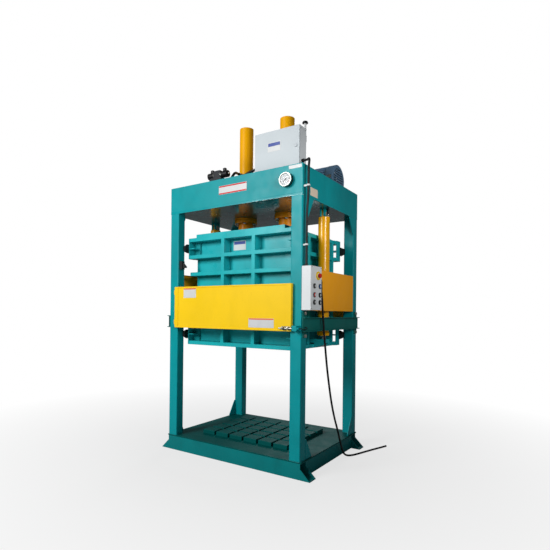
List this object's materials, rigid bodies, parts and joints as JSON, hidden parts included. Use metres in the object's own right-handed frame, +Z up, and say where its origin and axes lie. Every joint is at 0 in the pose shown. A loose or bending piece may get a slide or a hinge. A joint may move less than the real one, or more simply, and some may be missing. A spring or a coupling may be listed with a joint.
{
  "type": "recycling baler",
  "caption": "Vertical press for waste paper, rags or film: rams above push a platen down a chamber that side cylinders lift off the bale, behind a guard gate.",
  "frame": {"origin": "middle of the base, on the floor, at the centre of the anchor bolt pattern", "axes": "+X to the right seen from the loading gate, +Y from the gate to the rear, +Z up"},
  "size_m": [2.1015, 1.5522, 3.667],
  "materials": {
    "teal_paint": "semi-gloss enamel",
    "deep_teal_paint": "semi-gloss enamel",
    "yellow_paint": "satin powder coat",
    "ram_paint": "semi-gloss enamel",
    "cabinet_paint": "textured powder coat",
    "motor_paint": "matt enamel",
    "bright_rod": "hard chrome",
    "zinc_steel": "zinc plated",
    "dark_steel": "oiled",
    "black_plastic": "matt",
    "black_rubber": "matt",
    "white_plastic": "gloss",
    "red_plastic": "gloss",
    "blue_plastic": "gloss"
  },
  "bodies": {
    "frame": {"leg_front_left": "teal_paint", "leg_front_right": "teal_paint", "leg_rear_left": "teal_paint", "leg_rear_right": "teal_paint", "corner_gussets": "teal_paint", "crosshead_floor": "teal_paint", "crosshead_walls": "teal_paint", "crosshead_webs": "teal_paint", "mid_beams": "teal_paint", "lift_brackets": "teal_paint", "latch_keeper": "teal_paint", "oil_tank": "teal_paint", "base_beams": "deep_teal_paint", "deck_plate": "deep_teal_paint", "bale_blocks": "deep_teal_paint", "fixed_guards": "yellow_paint", "gate_hinges": "yellow_paint", "ram_tubes": "ram_paint", "ram_glands": "ram_paint", "lift_tubes": "ram_paint", "cabinet_shell": "cabinet_paint", "cabinet_posts": "cabinet_paint", "control_cover": "cabinet_paint", "control_box": "cabinet_paint", "pump_motor": "motor_paint", "fan_cowl": "motor_paint", "hex_bolts": "zinc_steel", "lift_pins": "zinc_steel", "valve_block": "zinc_steel", "oil_pump": "dark_steel", "position_sensor": "black_plastic", "signal_mast": "black_plastic", "valve_solenoids": "black_plastic", "cable_glands": "black_plastic", "pressure_gauge": "black_plastic", "hydraulic_hoses": "black_rubber", "control_conduit": "black_rubber", "supply_cable": "black_rubber", "conduit_clips": "white_plastic"},
    "chamber": {"chamber_front_panel": "teal_paint", "chamber_rear_panel": "teal_paint", "chamber_left_panel": "teal_paint", "chamber_right_panel": "teal_paint", "guide_shoes": "black_plastic", "lift_rods": "bright_rod"},
    "press": {"platen": "teal_paint", "ram_rods": "bright_rod"},
    "gate": {"gate_panel": "yellow_paint"},
    "latch": {"latch_bolt": "zinc_steel"},
    "cabinet_lid": {"cabinet_door": "cabinet_paint"},
    "lock": {"door_lock": "zinc_steel"},
    "stop_button": {"emergency_stop": "red_plastic"},
    "needle": {"gauge_needle": "black_plastic"},
    "rotor": {"motor_rotor": "dark_steel"},
    "button_1": {"push_button_1": "black_plastic"},
    "button_2": {"push_button_2": "blue_plastic"},
    "button_3": {"push_button_3": "red_plastic"},
    "button_4": {"push_button_4": "black_plastic"},
    "button_5": {"push_button_5": "black_plastic"},
    "button_6": {"push_button_6": "black_plastic"}
  },
  "joints": [
    {"name": "chamber_lift", "type": "slide", "parent": "frame", "child": "chamber", "axis": [0, 0, -1], "range_m": [0, 1]},
    {"name": "platen_press", "type": "slide", "parent": "frame", "child": "press", "axis": [0, 0, -1], "range_m": [0, 0.97]},
    {"name": "gate_swing", "type": "hinge", "parent": "frame", "child": "gate", "pos_m": [-0.742, -0.672, 1.576], "axis": [0, 0, -1], "range_deg": [0, 110]},
    {"name": "latch_slide", "type": "slide", "parent": "gate", "child": "latch", "axis": [1, 0, 0], "range_m": [0, 0.03]},
    {"name": "cabinet_door_swing", "type": "hinge", "parent": "frame", "child": "cabinet_lid", "pos_m": [0.263, -0.583, 3.094], "axis": [0, 0, -1], "range_deg": [0, 120]},
    {"name": "door_lock_turn", "type": "hinge", "parent": "cabinet_lid", "child": "lock", "pos_m": [0.737, -0.6, 3.094], "axis": [0, -1, 0], "range_deg": [0, 90]},
    {"name": "emergency_stop_push", "type": "slide", "parent": "frame", "child": "stop_button", "axis": [-1, 0, 0], "range_m": [0, 0.008], "stiffness_N_per_m": 1500},
    {"name": "gauge_needle_turn", "type": "hinge", "parent": "frame", "child": "needle", "pos_m": [0.675, -0.686, 2.762], "axis": [0, 1, 0], "range_deg": [0, 270]},
    {"name": "motor_spin", "type": "hinge", "parent": "frame", "child": "rotor", "pos_m": [0.5, 0.285, 2.995], "axis": [1, 0, 0], "continuous": true},
    {"name": "button_1_push", "type": "slide", "parent": "frame", "child": "button_1", "axis": [-1, 0, 0], "range_m": [0, 0.005], "stiffness_N_per_m": 900},
    {"name": "button_2_push", "type": "slide", "parent": "frame", "child": "button_2", "axis": [-1, 0, 0], "range_m": [0, 0.005], "stiffness_N_per_m": 900},
    {"name": "button_3_push", "type": "slide", "parent": "frame", "child": "button_3", "axis": [-1, 0, 0], "range_m": [0, 0.005], "stiffness_N_per_m": 900},
    {"name": "button_4_push", "type": "slide", "parent": "frame", "child": "button_4", "axis": [-1, 0, 0], "range_m": [0, 0.005], "stiffness_N_per_m": 900},
    {"name": "button_5_push", "type": "slide", "parent": "frame", "child": "button_5", "axis": [-1, 0, 0], "range_m": [0, 0.005], "stiffness_N_per_m": 900},
    {"name": "button_6_push", "type": "slide", "parent": "frame", "child": "button_6", "axis": [-1, 0, 0], "range_m": [0, 0.005], "stiffness_N_per_m": 900}
  ]
}
